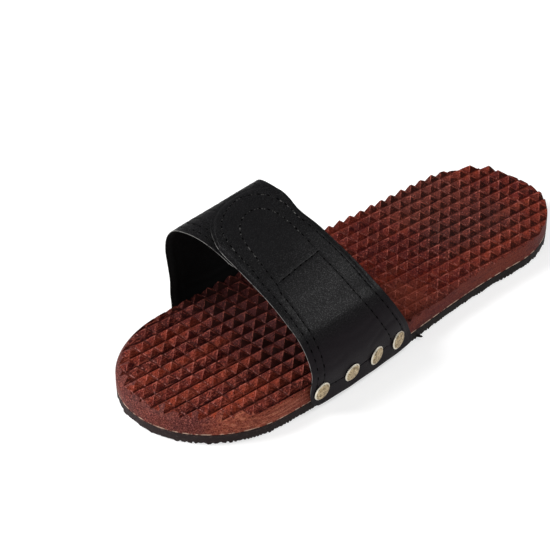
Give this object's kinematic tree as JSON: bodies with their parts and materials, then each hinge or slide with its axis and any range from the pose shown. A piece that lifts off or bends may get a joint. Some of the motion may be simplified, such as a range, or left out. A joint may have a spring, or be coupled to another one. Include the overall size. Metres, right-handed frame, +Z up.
{
  "type": "massage slipper",
  "caption": "Left-foot massage slipper: a wooden footbed with pyramid studs on a rubber sole, under a nailed leather strap with a round hook-and-loop flap.",
  "frame": {"origin": "centre of the bounding box, on the floor the sole stands on", "axes": "+Z up, +Y from the toe to the heel, +X to the outer (lateral) side of the left foot"},
  "size_m": [0.1017, 0.272, 0.0678],
  "materials": {
    "rubber": "matte",
    "wood": "satin",
    "leather": "satin",
    "tape": "matte",
    "brass": "worn"
  },
  "bodies": {
    "root": {"outsole": "rubber", "footbed": "wood", "strap_lateral": "leather", "strap_medial": "leather", "fastening_tape": "tape", "nail_lateral_1": "brass", "nail_lateral_2": "brass", "nail_lateral_3": "brass", "nail_lateral_4": "brass", "nail_medial_1": "brass", "nail_medial_2": "brass", "nail_medial_3": "brass", "nail_medial_4": "brass"}
  },
  "joints": []
}
